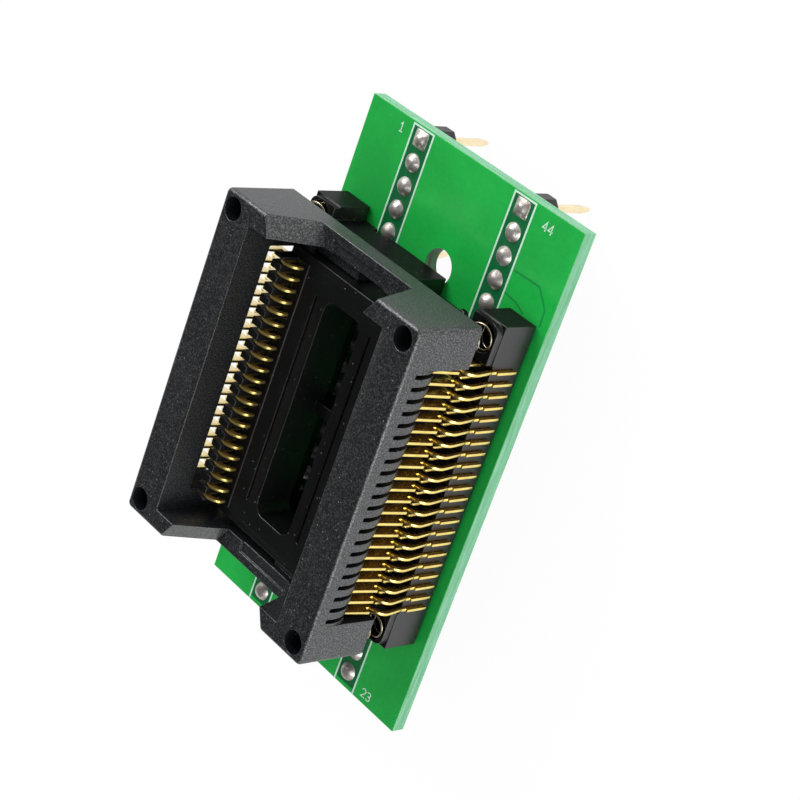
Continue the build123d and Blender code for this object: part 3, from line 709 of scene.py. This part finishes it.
# Outlines as (radius, height), as shares of half the width and of the height
JOINT_PROFILE = ((1.0, 0.0), (0.985, 0.09), (0.9, 0.26), (0.78, 0.46), (0.66, 0.66), (0.52, 0.84),
                 (0.33, 0.955), (0.15, 1.0), (0.0, 1.0))
END_PROFILE = ((1.0, 0.0), (1.0, 0.07), (0.88, 0.15), (0.75, 0.34), (0.63, 0.56), (0.49, 0.78),
               (0.31, 0.94), (0.14, 1.0), (0.0, 1.0))
CONE_PROFILE = ((0.28, 1.0), (0.34, 0.8), (0.48, 0.5), (0.72, 0.22), (1.0, 0.0), (0.0, 0.0))

# How far a joint's foot spreads to a square pad's corners, and how soon that fades inwards
PAD_SPREAD, PAD_FADE = 0.8, 10

# The unevenness of round and of square joints: its size, and its depth in solder lumps. It starts just
# over the board, and the joints are made lower for it.
ROUND_LUMP, SQUARE_LUMP = (1.1 * MM, 2.0), (1.0 * MM, 0.9)
LUMP_FLOOR = BOARD_TOP + 0.02 * MM
ROUND_HEIGHT, SQUARE_HEIGHT = 0.94, 0.9
ROUND_SEED, SQUARE_SEED = 3, 7


def joint_template(profile, segments, width, height, square=False):
    """A solder joint turned from a profile. On a square pad its foot spreads to the corners."""
    bm = bmesh.new()
    hill_in(bm, [(r, z * height) for r, z in profile], segments)
    for vert in bm.verts:
        flat = Vector(vert.co[:2])
        share = flat.length
        if square and share > 0:
            reach = max(abs(flat.x), abs(flat.y))
            flat = flat.lerp(flat * (share / reach), PAD_SPREAD * share ** PAD_FADE)
        vert.co.x, vert.co.y = flat * (width / 2)
    return finished(bm, "joint_template")


class ADAPTER_OT_solder(bpy.types.Operator):
    """Builds the solder joints of the header pins and of the contact tails"""
    bl_idname = "adapter.solder"
    bl_label = "Solder joints"

    def execute(self, context):
        sizes, colours = chosen(context)
        solder = tin_solder("Hand-soldered tin-lead", colours.solder, colours.solder_dark)
        first, last = pin_ends(sizes)
        lump, rough = ((size, sizes.solder_lump * depth, LUMP_FLOOR)
                       for size, depth in (ROUND_LUMP, SQUARE_LUMP))
        for index, (name, side) in enumerate(SIDES):
            x = side * ROW_X
            template = joint_template(JOINT_PROFILE, 24, sizes.joint_width,
                                      sizes.joint_height * ROUND_HEIGHT)
            joints = in_row("joints_" + name, template, solder, sizes.pins - 1, (x, first, BOARD_TOP),
                            sizes.pin_pitch, 2 * pi, lump, ROUND_SEED + index)
            dressed(joints, "solder", "header_solder_joints_" + name)
            template = joint_template(END_PROFILE, 32, sizes.end_joint_width,
                                      sizes.joint_height * SQUARE_HEIGHT, square=True)
            end = in_row("end_joint_" + name, template, solder, 1, (x, last, BOARD_TOP), sizes.pin_pitch,
                         0.0, rough, SQUARE_SEED + index)
            dressed(end, "solder", "end_pin_solder_joint_" + name)
            self.tails(name, side, sizes, solder)
        return {"FINISHED"}

    def tails(self, name, side, sizes, solder):
        """The tails stand in two staggered lines, so each row is made in two halves."""
        low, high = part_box("contact_solder_joints_" + name)
        half = sizes.tail_joint_width / 2
        lines = [low.x + half, high.x - half]
        starts = [low.y + half, low.y + half + sizes.contact_pitch]
        if side < 0:
            lines.reverse()
            starts.reverse()
        bm = bmesh.new()
        for x, y in zip(lines, starts):
            cone = joint_template(CONE_PROFILE, 16, sizes.tail_joint_width, -sizes.tail_joint_height)
            row = in_row("tail_joints_" + name, cone, solder, sizes.contacts // 2, (x, y, BOARD_LOW.z),
                         2 * sizes.contact_pitch)
            bm.from_mesh(row.data)
            bpy.data.objects.remove(row)
        dressed(finished(bm, "tail_joints_" + name, [solder]), "solder", "contact_solder_joints_" + name)


# Contacts

# The left levers show rougher plating than the right ones
CONTACT_ROUGHNESS = {"left": 0.36, "right": 0.22}


def contacts_in_row(node, name, finish, unit, sizes):
    """The first unit of so many contacts of a packed row, with rounded edges, and its copies."""
    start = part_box(node)[0].y
    bm = packed_copy(node)
    limit = start + (unit - 0.5) * sizes.contact_pitch
    bmesh.ops.delete(bm, geom=[v for v in bm.verts if v.co.y > limit], context="VERTS")
    round_edges(bm, sharp_edges(bm), sizes.contact_edge, 2)
    bmesh.ops.translate(bm, verts=bm.verts, vec=(0, -start, 0))
    return in_row(name, finished(bm, "contact_template"), finish, sizes.contacts // unit,
                  (0, start, 0), unit * sizes.contact_pitch)


class ADAPTER_OT_contacts(bpy.types.Operator):
    """Builds the stamped contacts: the fixed blades in the base and the sprung arms on them"""
    bl_idname = "adapter.contacts"
    bl_label = "Contacts"

    def execute(self, context):
        sizes, colours = chosen(context)
        # The left row's outer flats get a pale painted reflection, and the right row keeps the brown
        # painted shade
        levers = {"left": colours.contact_pale_reflection, "right": None}
        for name, _ in SIDES:
            gold = gold_plate("Gold on bronze contacts, %s row" % name, colours.contact,
                              colours.contact_tarnish_and_shade, CONTACT_ROUGHNESS[name], 0.3, 0.9, levers[name])
            node = "contact_blades_" + name
            blades = contacts_in_row(node, "blades_" + name, gold, 2, sizes)
            dressed(blades, "contact_gold", node)
            node = "contact_arms_" + name
            arms = contacts_in_row(node, "arms_" + name, gold, 1, sizes)
            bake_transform(arms)
            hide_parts(node)
        return {"FINISHED"}


# Mouldings

# The comb's slots lie within this distance of the cover's sides, and this far from its ends
SLOT_DEPTH, SLOT_INSET = 3 * MM, 4 * MM

# The post holes lie this far inside the cover's outline and reach this deep, in small faces
HOLE_INSET, HOLE_DEPTH, HOLE_FACE = 0.4 * MM, 5 * MM, 4 * MM * MM


def shaded_hollow_index(face):
    """The cover's second finish, a less reflective copy of the first that paints the walls of the comb's
    slots and of the holes in its posts darker, as shade.
    """
    middle = face.calc_center_median()
    from_side = COVER_HIGH.x - abs(middle.x)
    from_end = min(COVER_HIGH.y - middle.y, middle.y - COVER_LOW.y)
    slot = from_side < SLOT_DEPTH and from_end > SLOT_INSET and abs(face.normal.y) > 0.9
    hole = (min(from_side, from_end) > HOLE_INSET and middle.z > COVER_HIGH.z - HOLE_DEPTH
            and abs(face.normal.z) < 0.5 and face.calc_area() < HOLE_FACE)
    return int(slot or hole)


def moulding(node, name, finishes, width, choose=None):
    """A packed moulding with the small rounded edges that a mould leaves."""
    bm = packed_copy(node)
    if choose:
        for face in bm.faces:
            face.material_index = choose(face)
    piece = finished(bm, name, finishes)
    bevel = piece.modifiers.new("Moulded edges", "BEVEL")
    bevel.width, bevel.segments, bevel.miter_outer = width, 2, "MITER_ARC"
    bevel.limit_method, bevel.angle_limit = "ANGLE", MOULD_ANGLE
    bevel.use_clamp_overlap = False
    return piece


class ADAPTER_OT_base(bpy.types.Operator):
    """Builds the moulded base that holds the contacts"""
    bl_idname = "adapter.base"
    bl_label = "Socket base"

    def execute(self, context):
        sizes, colours = chosen(context)
        # ends and tops weaken the reflection on end faces and tops: painted shade that darkens those sides
        finish = moulded_plastic("Black glass-filled base plastic", colours.base, colours.speck,
                                 roughness=0.4, ior=1.72, specks=0.05, grain_depth=0.006, sheen=0.06,
                                 ends=0.93, tops=0.7)
        base = moulding("socket_base", "base_moulding", [finish], sizes.moulded_edge)
        dressed(base, "base_plastic", "socket_base")
        return {"FINISHED"}


class ADAPTER_OT_cover(bpy.types.Operator):
    """Builds the moulded cover that presses the contacts open"""
    bl_idname = "adapter.cover"
    bl_label = "Socket cover"

    def execute(self, context):
        sizes, colours = chosen(context)
        # ends weakens the reflection on end faces: painted shade that darkens the saddle and end walls
        finish = moulded_plastic("Charcoal glass-filled cover plastic", colours.cover, colours.speck,
                                 roughness=0.42, ior=1.84, specks=0.16, grain_depth=0.03, sheen=0.4,
                                 ends=0.2)
        # Painted shade: the same plastic made less reflective on the slot and hole walls, so the hollows
        # read darker
        walls = moulded_plastic("Dull charcoal plastic in the hollows", colours.cover, colours.speck,
                                roughness=0.6, ior=1.3, specks=0.02, grain_depth=0.02, sheen=0.1,
                                ends=0.6)
        cover = moulding("socket_cover", "cover_moulding", [finish, walls], sizes.moulded_edge,
                         shaded_hollow_index)
        dressed(cover, "cover_plastic", "socket_cover", body="cover")
        return {"FINISHED"}


# Springs

# How much the wire's rise eases at the closed ends, as a share of the height
CLOSED_ENDS = 0.1


def spring_tree():
    """A round-wire compression spring with closed ends, wound up from the origin."""
    name = "Compression spring"
    if name in bpy.data.node_groups:
        return bpy.data.node_groups[name]
    tree, add, given = new_tree(name, {
        "Radius": "Float", "Height": "Float", "Turns": "Float", "Wire": "Float", "Start": "Vector",
        "Finish": "Material"})
    line = add("GeometryNodeCurvePrimitiveLine", {"End": (0.0, 0.0, 1.0)})
    fine = add("GeometryNodeResampleCurve", {"Curve": line, "Count": 181})
    share = add("GeometryNodeSplineParameter").outputs["Factor"]
    wave = add(MATH, {0: share, 1: 2 * pi}, operation="MULTIPLY")
    angle = add(MATH, {0: wave, 1: given["Turns"]}, operation="MULTIPLY")
    across = add(MATH, {0: angle}, operation="COSINE")
    along = add(MATH, {0: angle}, operation="SINE")
    ease = add(MATH, {0: wave}, operation="SINE")
    level = add(MATH, {0: ease, 1: -CLOSED_ENDS, 2: share}, operation="MULTIPLY_ADD")
    unit = add(JOIN, {"X": across, "Y": along, "Z": level})
    size = add(JOIN, {"X": given["Radius"], "Y": given["Radius"], "Z": given["Height"]})
    placed = add(VECTOR_MATH, {0: unit, 1: size, 2: given["Start"]}, operation="MULTIPLY_ADD")
    coil = add("GeometryNodeSetPosition", {"Geometry": fine, "Position": placed})
    half = add(MATH, {0: given["Wire"], 1: 0.5}, operation="MULTIPLY")
    section = add("GeometryNodeCurvePrimitiveCircle", {"Resolution": 10, "Radius": half})
    wire = add("GeometryNodeCurveToMesh", {"Curve": coil, "Profile Curve": section, "Fill Caps": True})
    smooth = add("GeometryNodeSetShadeSmooth", {"Geometry": wire})
    real = add("GeometryNodeRealizeInstances", {"Geometry": smooth})
    finish = add("GeometryNodeSetMaterial", {"Geometry": real, "Material": given["Finish"]})
    add("NodeGroupOutput", {"Geometry": finish})
    return tree


class ADAPTER_OT_springs(bpy.types.Operator):
    """Builds the four return springs"""
    bl_idname = "adapter.springs"
    bl_label = "Return springs"

    def execute(self, context):
        sizes, colours = chosen(context)
        steel = spring_wire("Drawn stainless wire", colours.wire)
        for corner in ("upper_left", "upper_right", "lower_left", "lower_right"):
            node = "return_spring_" + corner
            low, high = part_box(node)
            middle = (low + high) / 2
            spring = made_by(spring_tree(), "spring_" + corner, {
                "Radius": sizes.spring_radius, "Height": high.z - low.z - sizes.wire,
                "Turns": sizes.spring_turns, "Wire": sizes.wire,
                "Start": (middle.x, middle.y, low.z + sizes.wire / 2), "Finish": steel})
            dressed(spring, "spring_steel", node)
            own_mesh(spring)
        return {"FINISHED"}


# Stage

# The camera's place and its right, down and forward directions, solved from the board and its pins
CAMERA_PLACE = Vector((0.138367, 0.088987, 0.167458))
CAMERA_RIGHT = Vector((0.62366812, 0.31703126, -0.7145133))
CAMERA_DOWN = Vector((0.49461055, -0.86786173, 0.04665208))
CAMERA_FORWARD = Vector((-0.60530858, -0.38250123, -0.6980647))
IMAGE_PIXELS = 800
FOCAL_PIXELS = 2250.91
SENSOR = 36.0

# Place and side of each softbox, and half the floor's side, in metres
KEY_LAMP = ((-0.2, 0.34, 0.28), 0.26)
FILL_LAMP = ((0.46, -0.12, 0.16), 0.3)
FLOOR_HALF = 4.0

# How high a reflection looks where it leaves the horizon and where it meets the ceiling
HORIZON, CEILING = 0.08, 0.4
HORIZON_LIGHT = 0.9


class ADAPTER_OT_stage(bpy.types.Operator):
    """Sets the pale floor, the lamps, the world and the camera"""
    bl_idname = "adapter.stage"
    bl_label = "Stage"

    def execute(self, context):
        settings = context.scene.adapter_stage
        self.floor(settings)
        self.world(context, settings)
        self.lamp("Key softbox", *KEY_LAMP, settings.key)
        self.lamp("Fill softbox", *FILL_LAMP, settings.fill)
        self.camera(context)
        context.scene.view_settings.view_transform = "Standard"
        return {"FINISHED"}

    def floor(self, settings):
        """A wide pale floor that shows as plain white, apart from the object's shadow."""
        bm = bmesh.new()
        bmesh.ops.create_grid(bm, x_segments=1, y_segments=1, size=FLOOR_HALF)
        material, add, shader, place = new_material("Matt white paper floor")
        nodes = material.node_tree.nodes
        nodes.remove(shader)
        grain = add(NOISE, {"Vector": place, "Scale": per_metre(2.0), "Detail": 2.0})
        tone = add(RANGE, {**MOST, 0: grain, 3: 0.985, 4: 1.0})
        pale = add(VECTOR_MATH, {0: settings.floor[:3], "Scale": tone}, operation="SCALE")
        paper = add("ShaderNodeBsdfDiffuse", {"Color": pale})
        glow = add("ShaderNodeEmission", {"Color": WHITE, "Strength": 1.0})
        rays = add("ShaderNodeLightPath").outputs
        seen = add(MATH, {0: rays["Is Camera Ray"], 1: rays["Is Glossy Ray"]}, operation="MAXIMUM")
        through = add(MATH, {0: seen, 1: rays["Is Transmission Ray"]}, operation="MAXIMUM")
        share = add(MATH, {0: through, 1: settings.glow}, operation="MULTIPLY")
        mixed = add("ShaderNodeMixShader", {0: share, 1: paper, 2: glow})
        feed(nodes["Material Output"], {"Surface": mixed})
        finished(bm, "floor", [material])

    def world(self, context, settings):
        """Even light from all round. Reflections see a pale horizon under a dim ceiling."""
        world = bpy.data.worlds.new("Pale studio")
        context.scene.world = world
        world.use_nodes = True
        world.node_tree.nodes.clear()
        add = partial(add_node, world.node_tree)
        rays = add("ShaderNodeLightPath").outputs
        split = add(SPLIT, {0: add("ShaderNodeTexCoord").outputs["Generated"]}).outputs
        fade = add(RANGE, {0: split["Z"], 1: HORIZON, 2: CEILING, 3: HORIZON_LIGHT, 4: settings.ceiling},
                   interpolation_type="SMOOTHSTEP")
        mirrored, even, white = (add("ShaderNodeBackground", {"Color": WHITE, "Strength": light})
                                 for light in (fade, settings.sky, 1.0))
        glossy = add("ShaderNodeMixShader", {0: rays["Is Glossy Ray"], 1: even, 2: mirrored})
        seen = add(MATH, {0: rays["Is Camera Ray"], 1: rays["Is Transmission Ray"]}, operation="MAXIMUM")
        shown = add("ShaderNodeMixShader", {0: seen, 1: glossy, 2: white})
        add("ShaderNodeOutputWorld", {"Surface": shown})

    def lamp(self, name, place, size, power):
        """A square softbox aimed at the socket."""
        data = bpy.data.lights.new(name, "AREA")
        data.shape = "SQUARE"
        data.size = size
        data.energy = power
        lamp = bpy.data.objects.new(name, data)
        bpy.context.scene.collection.objects.link(lamp)
        lamp.location = place
        aim = Vector((0, 0, BOARD_TOP)) - Vector(place)
        lamp.rotation_euler = aim.to_track_quat("-Z", "Y").to_euler()

    def camera(self, context):
        """A long lens from above the corner of pins 1 and 44, rolled as in the photograph."""
        data = bpy.data.cameras.new("Camera")
        data.sensor_width = SENSOR
        data.lens = SENSOR * FOCAL_PIXELS / IMAGE_PIXELS
        data.clip_start = 0.01
        camera = bpy.data.objects.new("Camera", data)
        context.scene.collection.objects.link(camera)
        turn = Matrix((CAMERA_RIGHT, -CAMERA_DOWN, -CAMERA_FORWARD)).transposed().to_4x4()
        turn.translation = CAMERA_PLACE
        camera.matrix_world = turn
        context.scene.camera = camera


class ADAPTER_PT_panel(bpy.types.Panel):
    """Lists the adapter's sizes, colours and pieces"""
    bl_idname = "ADAPTER_PT_panel"
    bl_label = "Socket adapter"
    bl_space_type = "VIEW_3D"
    bl_region_type = "UI"
    bl_category = "Adapter"

    def draw(self, context):
        for group in GROUPS:
            settings = getattr(context.scene, group)
            column = self.layout.column(align=True)
            for name in settings.__annotations__:
                column.prop(settings, name)
        column = self.layout.column(align=True)
        for operator in OPERATORS:
            column.operator(operator.bl_idname)


OPERATORS = (ADAPTER_OT_board, ADAPTER_OT_header, ADAPTER_OT_solder, ADAPTER_OT_contacts, ADAPTER_OT_base,
             ADAPTER_OT_cover, ADAPTER_OT_springs, ADAPTER_OT_stage)
GROUPS = {"adapter_sizes": AdapterSizes, "adapter_colours": AdapterColours, "adapter_stage": StageSettings}


def register():
    """Registers the classes and hangs the settings on the scene."""
    for name, group in GROUPS.items():
        bpy.utils.register_class(group)
        setattr(bpy.types.Scene, name, PointerProperty(type=group))
    for cls in OPERATORS + (ADAPTER_PT_panel,):
        bpy.utils.register_class(cls)


def unregister():
    """Takes the settings and the classes away again."""
    for cls in reversed(OPERATORS + (ADAPTER_PT_panel,)):
        bpy.utils.unregister_class(cls)
    for name, group in GROUPS.items():
        delattr(bpy.types.Scene, name)
        bpy.utils.unregister_class(group)


def main():
    """Builds every piece and the stage."""
    register()
    for operator in OPERATORS:
        getattr(bpy.ops.adapter, operator.bl_idname.split(".")[1])()


if __name__ == "__main__":
    main()
